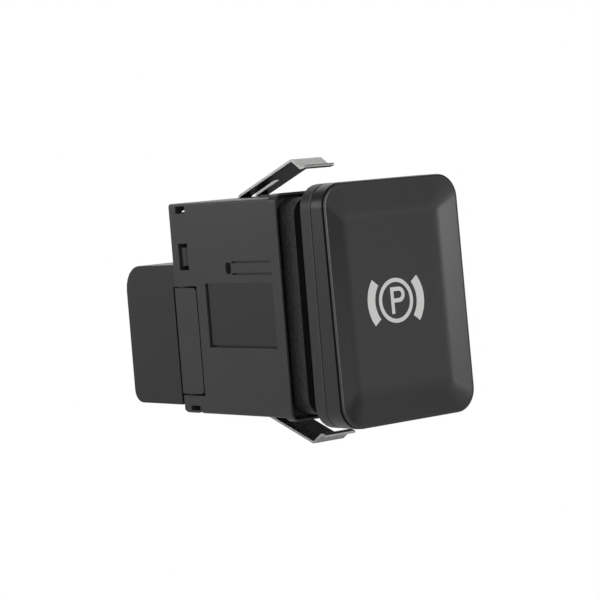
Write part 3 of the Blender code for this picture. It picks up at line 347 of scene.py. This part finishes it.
def lined_metal(
    name, colour, roughness, pitch, along=1, length=LINE_LENGTH, relief=0.004 * MM, contrast=0.18,
):
    """Metal with fine lines along one axis: 0 is X, 1 is Y, 2 is Z. A length of 1 makes dots."""
    material, tree = new_tree(name)
    place = add_node(tree, "ShaderNodeTexCoord")
    squeeze = [1 / pitch] * 3
    squeeze[along] = 1 / (length * pitch)
    lines = add_node(tree, "ShaderNodeMapping", {"Vector": place.outputs["Object"], "Scale": squeeze})
    streaks = add_node(tree, "ShaderNodeTexNoise", {
        "Vector": lines.outputs[0], "Scale": 1.0, "Detail": 2.0,
    })
    gloss = add_node(tree, "ShaderNodeMapRange", {
        "Value": streaks.outputs[0],
        "To Min": roughness - LINE_GLOSS_CHANGE, "To Max": roughness + LINE_GLOSS_CHANGE,
    })
    tone = add_node(tree, "ShaderNodeMapRange", {
        "Value": streaks.outputs[0], "From Min": NOISE_LOW, "From Max": NOISE_HIGH,
        "To Min": 1 - contrast, "To Max": 1 + contrast,
    })
    hue = add_node(
        tree, "ShaderNodeVectorMath", {0: srgb(colour)[:3], "Scale": tone.outputs[0]}, operation="SCALE",
    )
    bump = add_node(tree, "ShaderNodeBump", {"Height": streaks.outputs[0], "Distance": relief})
    shader = add_node(tree, "ShaderNodeBsdfPrincipled", {
        "Base Color": hue.outputs[0], "Roughness": gloss.outputs[0],
        "Normal": bump.outputs[0], "Metallic": 1.0,
    })
    add_node(tree, "ShaderNodeOutputMaterial", {"Surface": shader.outputs[0]})
    return material


print("a line is drawn", LINE_LENGTH, "times as long as wide")

# %% Metals of the switch
# Tempered strip as rolled: dark, with a faint sheen along its length.
rolled_steel = lined_metal("rolled_spring_steel", "#7C7C7C", 0.28, 0.25 * MM)
# The same steel where the punch cut it: bright, which outlines the strip.
sheared_steel = lined_metal("sheared_spring_steel_edge", "#B6B6B5", 0.30, 0.25 * MM)
# The same steel where it is knurled: pale and mottled.
knurled_steel = lined_metal(
    "knurled_spring_steel", "#929291", 0.42, 0.28 * MM, length=1, relief=0.03 * MM, contrast=0.35,
)
# Drawn wire of the return spring: grey, with a soft sheen.
drawn_wire = lined_metal("drawn_spring_wire", "#A9A8A6", 0.35, 0.3 * MM, along=0)
# Brass contacts under electroplated tin: pale and slightly warm.
tin_plate = lined_metal("tin_plated_brass", "#D0CDC4", 0.30, 0.2 * MM)
metals = rolled_steel, sheared_steel, knurled_steel, drawn_wire, tin_plate
print("metals:", [metal.name for metal in metals])

# %% [markdown]
# ## A skin over a stack of outlines
# A moulding could be carved from a block with cuts. It can also be seen as a skin over a stack of
# outlines, which gives a say over every slope, and that is the way taken here. A circle is stretched
# into a rounded rectangle, its edge is extruded, and the new edge is stretched to the next outline.
# Each point carries a label that says where on the outline it belongs, so the faces run straight from
# one outline to the next.

# %% Outlines and skin
CORNER_POINTS = 17


def stretch(verts, label, width, height, corner, y, lean=0.0):
    """Put labelled points on a rounded rectangle that faces -Y, on a plane that may lean."""
    for vert in verts:
        quarter, step = divmod(vert[label], CORNER_POINTS)
        angle = math.radians(90) * (quarter + step / (CORNER_POINTS - 1))
        side_x, side_z = ((1, 1), (-1, 1), (-1, -1), (1, -1))[quarter]
        x = side_x * (width / 2 - corner) + corner * math.cos(angle)
        z = side_z * (height / 2 - corner) + corner * math.sin(angle)
        vert.co = (x, y + z * math.tan(lean), z)


def skin(outlines):
    """Closed skin through a stack of outlines, flat at both ends."""
    bm = bmesh.new()
    label = bm.verts.layers.int.new("place")
    verts = bmesh.ops.create_circle(bm, segments=4 * CORNER_POINTS, radius=1.0)["verts"]
    for index, vert in enumerate(verts):
        vert[label] = index
    stretch(verts, label, *outlines[0])
    edges = bm.edges[:]
    bmesh.ops.contextual_create(bm, geom=edges)
    for outline in outlines[1:]:
        pushed = bmesh.ops.extrude_edge_only(bm, edges=edges)["geom"]
        verts = {part for part in pushed if isinstance(part, bmesh.types.BMVert)}
        stretch(verts, label, *outline)
        new_edges = [part for part in pushed if isinstance(part, bmesh.types.BMEdge)]
        edges = [edge for edge in new_edges if verts.issuperset(edge.verts)]
    bmesh.ops.contextual_create(bm, geom=edges)
    return bm


print("points on an outline:", 4 * CORNER_POINTS)

# %% [markdown]
# ## From mesh to piece
# Every piece made here becomes an object in the same way: its faces point outwards, it is shaded
# smooth, it rides on a body so that it moves with the button or stays with the box, and the solids of
# the model that it stands for are hidden. Weighted normals then keep flat faces flat beside small rounds.


# %% Make a piece
def add_piece(name, bm, material, body, slot, *replaced):
    """Smooth object from a bmesh. It rides on a body, and stands for the CAD nodes named last."""
    bmesh.ops.recalc_face_normals(bm, faces=bm.faces)
    mesh = bpy.data.meshes.new(name)
    bm.to_mesh(mesh)
    bm.free()
    mesh.shade_smooth()
    mesh.materials.append(material)
    piece = bpy.data.objects.new(name, mesh)
    bpy.context.scene.collection.objects.link(piece)
    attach(piece, body)
    if replaced:
        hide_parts(*replaced)
    print(name, "faces:", len(mesh.polygons))
    return piece


def keep_flats(piece):
    """Shade by the larger faces, so that flat ones look flat beside small rounds."""
    flats = piece.modifiers.new("keep_flats", "WEIGHTED_NORMAL")
    flats.weight = 100
    flats.keep_sharp = True


# %% [markdown]
# ## Button cap
# The cap is a hollow ABS moulding with a leaning, dished face. It could be a box with a scooped front,
# but the shape lies in the borders, which slope evenly from the rim and turn softly into a flat floor.
# So outlines are stacked from inside the hollow, round the rear edge, past the groove behind the rim,
# over the rim and down the borders. The rear edge reaches back a hair past the solid's, which leaves
# a fine dark joint in front of the ring. The groove is deep and narrow, so it stays black, and the
# rim in front of it is tight, so it catches a bright line.

# %% Sizes of the cap
low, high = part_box("button_cap")
HEAD_WIDTH, HEAD_HEIGHT = high[0] - low[0], high[2] - low[2]
HEAD_CORNER, HEAD_DEPTH = 4.0 * MM, 3.83 * MM
RIM_Y = high[1] - HEAD_DEPTH
FACE_TILT = math.radians(1.28)
HOLLOW_DEPTH, CAP_WALL = 2.45 * MM, 1.5 * MM
REAR_REACH, REAR_BREAK = 0.08 * MM, 0.1 * MM
GROOVE_DEPTH, GROOVE_FRONT, GROOVE_REAR = 0.36 * MM, 0.22 * MM, 0.74 * MM
RIM_FILLET, FILLET_DEGREES = 0.38 * MM, range(25, 91, 13)
DISH_DEPTH = 1.25 * MM
BORDER_START, SIDE_BORDER, END_BORDER = 0.42 * MM, 4.7 * MM, 5.2 * MM
FLOOR_CORNER = 1.3 * MM
print("cap", round(HEAD_WIDTH / MM, 2), "x", round(HEAD_HEIGHT / MM, 2), "mm")


# %% Outlines of the cap
def cap_ring(inset, depth, lean=FACE_TILT):
    """Outline of the cap, moved in by an inset, at a depth behind the rim."""
    return HEAD_WIDTH - 2 * inset, HEAD_HEIGHT - 2 * inset, HEAD_CORNER - inset, RIM_Y + depth, lean


def border_ring(share, depth):
    """Outline on the sloping border, from a share of 0 at the rim to 1 at the floor."""
    inset_x = BORDER_START + (SIDE_BORDER - BORDER_START) * share
    inset_z = BORDER_START + (END_BORDER - BORDER_START) * share
    corner = HEAD_CORNER - BORDER_START + (FLOOR_CORNER - HEAD_CORNER + BORDER_START) * share
    return HEAD_WIDTH - 2 * inset_x, HEAD_HEIGHT - 2 * inset_z, corner, RIM_Y + depth, FACE_TILT


rear = HEAD_DEPTH + REAR_REACH
rings = [
    cap_ring(CAP_WALL, HOLLOW_DEPTH),
    cap_ring(CAP_WALL, rear, 0.0),
    cap_ring(REAR_BREAK, rear, 0.0),
    cap_ring(0.0, rear - REAR_BREAK, 0.0),
    cap_ring(0.0, GROOVE_REAR),
    cap_ring(GROOVE_DEPTH, GROOVE_REAR),
    cap_ring(GROOVE_DEPTH, GROOVE_FRONT),
]
for degrees in FILLET_DEGREES:
    angle = math.radians(degrees)
    rings.append(cap_ring(RIM_FILLET * (1 - math.cos(angle)), RIM_FILLET * (1 - math.sin(angle))))
print("outlines up to the rim:", len(rings))

# %% [markdown]
# The border falls evenly up to the start of its turn, and then flattens out like a ball at the top of
# its throw: the slope shrinks by equal steps, so the depth follows a parabola. Two straight faces
# would meet in a crease, which the real dish hasn't got.

# %% Dish, and the cap made
RIM_SHARE, RIM_DROP = 0.04, 0.03 * MM
TURN_START, TURN_END, TURN_STEPS = 0.72, 1.24, 8

turn_length = TURN_END - TURN_START
steepness = (DISH_DEPTH - RIM_DROP) / (TURN_START - RIM_SHARE + turn_length / 2)
rings += [border_ring(0.0, 0.0), border_ring(RIM_SHARE, RIM_DROP)]
for step in range(TURN_STEPS + 1):
    turned = step / TURN_STEPS
    run = TURN_START - RIM_SHARE + turn_length * (turned - turned ** 2 / 2)
    rings.append(border_ring(TURN_START + turn_length * turned, RIM_DROP + steepness * run))
button_cap = add_piece("cap_moulding", skin(rings), painted_abs, "button", "button_black", "button_cap")
button_cap.data.set_sharp_from_angle(angle=math.radians(50))
keep_flats(button_cap)

# %% [markdown]
# ## Symbol
# The parking-brake symbol is a window in the paint, cut by laser, with pale plastic behind it. It
# could be a mask in the paint's nodes, but thin flat shapes that stand a hair proud of the floor stay
# sharp at any distance. The ring and arcs are radial edges spun about the middle. The letter is a
# stem and two bars, closed by half a ring.

# %% Sizes of the symbol
FLOOR_Y = RIM_Y + DISH_DEPTH
SYMBOL_X, SYMBOL_Z = -0.08 * MM, -0.10 * MM
SYMBOL_PROUD, SYMBOL_THICKNESS = 0.02 * MM, 0.04 * MM
RING_INNER, RING_OUTER = 3.03 * MM, 3.70 * MM
ARC_INNER, ARC_OUTER, ARC_HALF_DEGREES = 4.51 * MM, 6.14 * MM, 38
BOWL_INNER, BOWL_OUTER = 0.60 * MM, 1.28 * MM
BOWL_MIDDLE = (0.68 * MM, 0.93 * MM)
STEM_X, STEM_Z = (-1.09 * MM, -0.42 * MM), (-2.17 * MM, 2.21 * MM)
RING_STEPS, ARC_STEPS = 96, 24
print("symbol", round(2 * ARC_OUTER / MM, 1), "mm across")


# %% Flat shapes
def radial_edge(bm, inner, outer, turn, centre=(0.0, 0.0)):
    """Edge along a radius, at an angle from +X towards +Z."""
    ends = []
    for radius in (inner, outer):
        x = centre[0] + radius * math.cos(math.radians(turn))
        z = centre[1] + radius * math.sin(math.radians(turn))
        ends += bmesh.ops.create_vert(bm, co=(x, 0.0, z))["vert"]
    return ends + bmesh.ops.contextual_create(bm, geom=ends)["edges"]


def sweep(bm, edge, turn, steps, centre=(0.0, 0.0)):
    """Flat band swept by an edge about a centre."""
    whole = abs(turn) == 360
    bmesh.ops.spin(
        bm, geom=edge, cent=(centre[0], 0.0, centre[1]), axis=(0, -1, 0), angle=math.radians(turn),
        steps=steps, use_merge=whole,
    )


def flat_bar(bm, x, z):
    """Flat rectangle from its spans along X and Z."""
    size = Matrix.Diagonal((x[1] - x[0], 1.0, z[1] - z[0], 1.0))
    middle = Matrix.Translation(((x[0] + x[1]) / 2, 0.0, (z[0] + z[1]) / 2))
    upright = Matrix.Rotation(math.radians(90), 4, "X")
    bmesh.ops.create_grid(bm, x_segments=1, y_segments=1, size=0.5, matrix=middle @ size @ upright)


symbol = bmesh.new()
sweep(symbol, radial_edge(symbol, RING_INNER, RING_OUTER, 0), 360, RING_STEPS)
for side in (0, 180):
    arc_edge = radial_edge(symbol, ARC_INNER, ARC_OUTER, side - ARC_HALF_DEGREES)
    sweep(symbol, arc_edge, 2 * ARC_HALF_DEGREES, ARC_STEPS)
bowl_edge = radial_edge(symbol, BOWL_INNER, BOWL_OUTER, -90, BOWL_MIDDLE)
sweep(symbol, bowl_edge, 180, ARC_STEPS, BOWL_MIDDLE)
bar_x = (STEM_X[1], BOWL_MIDDLE[0])
flat_bar(symbol, STEM_X, STEM_Z)
flat_bar(symbol, bar_x, (BOWL_MIDDLE[1] + BOWL_INNER, BOWL_MIDDLE[1] + BOWL_OUTER))
flat_bar(symbol, bar_x, (BOWL_MIDDLE[1] - BOWL_OUTER, BOWL_MIDDLE[1] - BOWL_INNER))
print("flat faces of the symbol:", len(symbol.faces))

# %% Symbol made
skins = bmesh.ops.extrude_face_region(symbol, geom=symbol.faces[:], use_keep_orig=True)
moved = [part for part in skins["geom"] if isinstance(part, bmesh.types.BMVert)]
bmesh.ops.translate(symbol, vec=(0, SYMBOL_THICKNESS, 0), verts=moved)
lean = Matrix.Rotation(-FACE_TILT, 4, "X")
symbol_y = FLOOR_Y - SYMBOL_PROUD + SYMBOL_Z * math.tan(FACE_TILT)
place = Matrix.Translation((SYMBOL_X, symbol_y, SYMBOL_Z))
bmesh.ops.transform(symbol, matrix=place @ lean, verts=symbol.verts)
brake_symbol = add_piece("brake_symbol", symbol, opal_plastic, "button", "opal_plastic")
brake_symbol.data.set_sharp_from_angle(angle=math.radians(30))

# %% [markdown]
# ## Carrier, housing and rear cover
# These mouldings already have their true form in the model. What they lack is the small round that
# every moulded edge has, which catches a thread of light. They could be modelled again, but then they
# might stray from the solids. So each is copied, its facets are merged, and a bevel rounds its sharp
# edges. The ring behind the button has two outlines that catch the light side by side. Those are
# picked by their depth and rounded first, each by a width of its own.

# %% Helpers for copied solids
SAME_POINT, SAME_DEPTH = 0.001 * MM, 0.02 * MM
OUTLINE_SEGMENTS = 3


def merged_copy(name):
    """Mesh of a CAD solid, its loose facets merged and its flat faces made whole."""
    bm = bmesh.new()
    bm.from_mesh(frame["nodes"][name].data)
    bmesh.ops.remove_doubles(bm, verts=bm.verts, dist=SAME_POINT)
    bmesh.ops.dissolve_limit(bm, angle_limit=math.radians(1), verts=bm.verts, edges=bm.edges)
    return bm


def round_outline(bm, y, beyond, width):
    """Round the outer outline that a solid has at one depth, where it lies beyond a half size."""
    chosen = [
        edge for edge in bm.edges
        if all(abs(vert.co.y - y) < SAME_DEPTH for vert in edge.verts)
        and all(abs(vert.co.x) > beyond[0] or abs(vert.co.z) > beyond[1] for vert in edge.verts)
    ]
    bmesh.ops.bevel(
        bm, geom=chosen, offset=width, segments=OUTLINE_SEGMENTS, profile=0.5, affect="EDGES",
        clamp_overlap=True, material=-1,
    )
    print("outline edges rounded:", len(chosen))


def round_edges(piece, width, segments=2, sharper_than=32):
    """Round the sharp edges, and keep the flat faces shaded flat."""
    bevel = piece.modifiers.new("round_edges", "BEVEL")
    bevel.width = width
    bevel.segments = segments
    bevel.limit_method = "ANGLE"
    bevel.angle_limit = math.radians(sharper_than)
    bevel.use_clamp_overlap = True
    keep_flats(piece)


print("triangles of the housing's solid:", len(frame["nodes"]["housing"].data.polygons))

# %% Softened mouldings
EDGE_ROUND = 0.12 * MM
RING_HALF_SIZE = (13.9 * MM, 18.45 * MM)
RING_OUTLINES = ((-10.87 * MM, 0.12 * MM), (-8.24 * MM, 0.2 * MM))

carrier = merged_copy("button_carrier")
for y, outline_width in RING_OUTLINES:
    round_outline(carrier, y, RING_HALF_SIZE, outline_width)
for name, node, bm, body, finish, slot in (
    ("carrier_moulding", "button_carrier", carrier, "button", ring_abs, "button_black"),
    ("housing_moulding", "housing", merged_copy("housing"), "housing", textured_pa, "housing_black"),
    ("cover_moulding", "rear_cover", merged_copy("rear_cover"), "housing", textured_pa, "housing_black"),
):
    round_edges(add_piece(name, bm, finish, body, slot, node), EDGE_ROUND)

# %% [markdown]
# ## Second finishes on one moulding
# A mould's cavity is seldom finished alike all over. Here the sunk panels and the connector block came
# from smoother tool faces, and the sides of the neck from a coarse one. The front of the neck gets the
# smooth finish too. Sides and front of the neck lie in the recess behind the ring, and their dark
# colours are also painted shade, so the gap there looks black. They could be split off as pieces, but
# a moulding is one piece, so its faces get a second material where their middle lies in a box. The
# boxes are given by two corners, in millimetres.

# %% Smooth and coarse parts, and painted shade on the neck
NECK = ((-14.5, -5.05, -20.0), (14.5, -2.0, 20.0))
NECK_FRONT = ((-14.5, -5.05, -20.0), (14.5, -4.95, 20.0))
PANEL_X, PANEL_Y, PANEL_Z = (13.8, 14.27), (0.6, 19.4), (-6.6, 4.4)
CONNECTOR_BLOCK = ((-20.0, 28.3, -20.0), (20.0, 60.0, 20.0))


def refinish(piece, material, low, high):
    """Another finish for the faces whose middle lies in a box, given in millimetres."""
    if material.name not in piece.data.materials:
        piece.data.materials.append(material)
    for face in piece.data.polygons:
        if all(least <= value / MM <= most for least, value, most in zip(low, face.center, high)):
            face.material_index = piece.data.materials.find(material.name)


housing_skin = bpy.data.objects["housing_moulding"]
# The sides of the neck get the coarse finish, dark as painted shade for the recess behind the ring.
refinish(housing_skin, coarse_grain_and_shade_pa, *NECK)
# The front of the neck gets the smooth finish, dark as painted shade, so the gap there looks black.
refinish(housing_skin, smooth_and_shade_pa, *NECK_FRONT)
for side in (-1, 1):
    left, right = sorted(side * x for x in PANEL_X)
    refinish(housing_skin, smooth_and_shade_pa, (left, PANEL_Y[0], PANEL_Z[0]), (right, PANEL_Y[1], PANEL_Z[1]))
refinish(bpy.data.objects["cover_moulding"], smooth_and_shade_pa, *CONNECTOR_BLOCK)
for index, finish in enumerate(housing_skin.data.materials):
    print(finish.name, "faces:", sum(face.material_index == index for face in housing_skin.data.polygons))

# %% [markdown]
# ## Clips
# Each clip is a strip of spring steel, stamped, folded, and toothed along the front of its lip. The
# folds are in the model. The teeth could be a bump in the metal, but they show in outline, so they
# are cut: planes slice the front of the lip into columns, and every second cut is pushed back. All
# cuts are made before any point moves, because a later one would follow an edge that already slants.
# Then sides, slot and front edge get the bright sheared finish, the lip gets the knurled one, and a
# very small bevel makes the edges glint.

# %% Sizes of the clips
TOOTH_PITCH, TOOTH_DEPTH, TOOTH_ZONE, CUT_ZONE = 0.32 * MM, 0.14 * MM, 0.3 * MM, 1.0 * MM
CLIP_BREAK = 0.05 * MM
# Boxes for the second finishes, in millimetres.
SLOT_SIDE, SIDE_BAND = 0.55, 0.03
TIP_START, TIP_END, KNURL_END, KNURL_X = -0.1, 0.2, 3.3, 3.19
FAR = 60
print("teeth", round(TOOTH_PITCH / MM, 2), "mm apart")

# %% Clips
for end in ("top", "bottom"):
    low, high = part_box("clip_" + end)
    strip = merged_copy("clip_" + end)
    columns = 2 * round((high[0] - low[0]) / TOOTH_PITCH / 2)
    pitch = (high[0] - low[0]) / columns
    for column in range(1, columns):
        front = [face for face in strip.faces if face.calc_center_median().y < low[1] + CUT_ZONE]
        parts = set(front) | {part for face in front for part in list(face.edges) + list(face.verts)}
        x = low[0] + pitch * column
        bmesh.ops.bisect_plane(strip, geom=list(parts), plane_co=(x, 0, 0), plane_no=(1, 0, 0))
    for vert in strip.verts:
        if vert.co.y < low[1] + TOOTH_ZONE and round((vert.co.x - low[0]) / pitch) % 2:
            vert.co.y += TOOTH_DEPTH
    name = "clip_strip_" + end
    piece = add_piece(name, strip, rolled_steel, "housing", "spring_steel", "clip_" + end)
    for side in (low[0] / MM, -SLOT_SIDE, SLOT_SIDE, high[0] / MM):
        refinish(piece, sheared_steel, (side - SIDE_BAND, -FAR, -FAR), (side + SIDE_BAND, FAR, FAR))
    tip = low[1] / MM
    refinish(piece, sheared_steel, (-KNURL_X, tip + TIP_START, -FAR), (KNURL_X, tip + TIP_END, FAR))
    refinish(piece, knurled_steel, (-KNURL_X, tip + TIP_END, -FAR), (KNURL_X, tip + KNURL_END, FAR))
    round_edges(piece, CLIP_BREAK, sharper_than=50)

# %% [markdown]
# ## Return spring
# The coil is drawn wire with closed ends. It could be a curve with a round section, but then each
# point of the helix would have to be worked out. Here a small circle is spun about the axis while it
# climbs, slowly over the end turns and faster between them.

# %% Return spring
WIRE_RADIUS = 0.4 * MM
WIRE_SIDES, TURN_SLICES = 10, 32
CLOSED_PITCH, OPEN_TURNS = 2.1 * WIRE_RADIUS, 4

low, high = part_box("return_spring")
coil_radius = (high[0] - low[0]) / 2 - WIRE_RADIUS
climb = high[1] - low[1] - 2 * WIRE_RADIUS
open_pitch = (climb - 2 * CLOSED_PITCH) / OPEN_TURNS
spring = bmesh.new()
lying = Matrix.Translation((coil_radius, low[1] + WIRE_RADIUS, 0.0))
ring = bmesh.ops.create_circle(spring, segments=WIRE_SIDES, radius=WIRE_RADIUS, matrix=lying)["verts"]
first = spring.edges[:]
geometry = ring + first
for turns, pitch in ((1, CLOSED_PITCH), (OPEN_TURNS, open_pitch), (1, CLOSED_PITCH)):
    made = bmesh.ops.spin(
        spring, geom=geometry, cent=(0, 0, 0), axis=(0, 1, 0), dvec=(0, pitch / TURN_SLICES, 0),
        angle=math.radians(360) * turns, steps=TURN_SLICES * turns,
    )
    geometry = made["geom_last"]
last = [part for part in geometry if isinstance(part, bmesh.types.BMEdge)]
for ends in (first, last):
    bmesh.ops.contextual_create(spring, geom=ends)
coil = add_piece("spring_coil", spring, drawn_wire, "housing", "wire_steel", "return_spring")
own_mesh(coil)

# %% [markdown]
# ## Clear plastics
# Two pieces inside let light through: the light guide, moulded in clear acrylic, and the lens of the
# red lamp, cast in tinted epoxy. They could share one material, but acrylic bends light less than
# epoxy, so each gets its own index. Both are polished, so a low roughness with a faint unevenness
# will do, and the colour carries the tint.

# %% Clear plastics
POLISH_CHANGE = 2 * MM


def clear_plastic(name, colour, roughness, ior):
    """Polished transparent plastic, faintly uneven."""
    material, tree = new_tree(name)
    place = add_node(tree, "ShaderNodeTexCoord")
    slow = add_node(tree, "ShaderNodeTexNoise", {
        "Vector": place.outputs["Object"], "Scale": 1 / POLISH_CHANGE,
    })
    gloss = add_node(tree, "ShaderNodeMapRange", {
        "Value": slow.outputs[0], "To Min": roughness / 2, "To Max": roughness * 1.5,
    })
    shader = add_node(tree, "ShaderNodeBsdfPrincipled", {
        "Base Color": srgb(colour), "Roughness": gloss.outputs[0], "IOR": ior, "Transmission Weight": 1.0,
    })
    add_node(tree, "ShaderNodeOutputMaterial", {"Surface": shader.outputs[0]})
    return material


# Clear acrylic from a polished tool: nearly colourless, with sharp highlights.
clear_acrylic = clear_plastic("clear_acrylic", "#F2F5F7", 0.04, 1.49)
# Tinted epoxy, cast: deep red even when the lamp is off.
red_lens = clear_plastic("red_tinted_epoxy", "#D02018", 0.06, 1.55)
print("clear plastics:", clear_acrylic.name, red_lens.name)

# %% [markdown]
# ## Circuit board
# The board is glass-fibre laminate under green solder resist. The copper tracks lift the resist a
# little and show through it as paler lines. Each track could be a piece, but the board lies inside
# the box. A brick pattern gives lines enough, in steps of half and twice the 2.54 mm of such boards.

# %% Solder resist
BOARD_PITCH = 2.54 * MM

solder_resist, tree = new_tree("green_solder_resist")
place = add_node(tree, "ShaderNodeTexCoord")
turned = add_node(tree, "ShaderNodeMapping", {
    "Vector": place.outputs["Object"], "Rotation": (math.radians(90), 0, 0), "Scale": [1 / BOARD_PITCH] * 3,
})
tracks = add_node(tree, "ShaderNodeTexBrick", {
    "Vector": turned.outputs[0], "Color1": srgb("#123F28"), "Color2": srgb("#154830"),
    "Mortar": srgb("#2C7048"), "Scale": 1.0, "Mortar Size": 0.06, "Brick Width": 2.0, "Row Height": 0.5,
})
ridges = add_node(tree, "ShaderNodeBump", {"Height": tracks.outputs["Fac"], "Distance": 0.03 * MM})
shader = add_node(tree, "ShaderNodeBsdfPrincipled", {
    "Base Color": tracks.outputs["Color"], "Roughness": 0.35, "Normal": ridges.outputs[0],
})
add_node(tree, "ShaderNodeOutputMaterial", {"Surface": shader.outputs[0]})
print("finish of the board:", solder_resist.name)

# %% [markdown]
# ## Finishes of the solids that stay
# The pieces inside keep their solids from the model and only need a finish each. The record already
# says which material a solid has, so one table from those slots to the finishes above covers them all.
# Only the white lamp differs from its slot, because its top is phosphor.

# %% Finishes of the solids
finishes = {
    "button_black": ring_abs, "housing_black": textured_pa, "opal_plastic": opal_plastic,
    "header_black": header_plastic, "spring_steel": rolled_steel, "wire_steel": drawn_wire,
    "contact_metal": tin_plate, "circuit_board": solder_resist, "clear_plastic": clear_acrylic,
    "red_lamp": red_lens,
}
slots = {row["node"]: row["material_slot"] for row in frame["record"]["subparts"]}
for name, node in frame["nodes"].items():
    finish = phosphor if name == "led_white" else finishes[slots[name]]
    for index in range(len(node.data.materials)):
        node.material_slots[index].material = finish
print("finishes given:", len(slots))
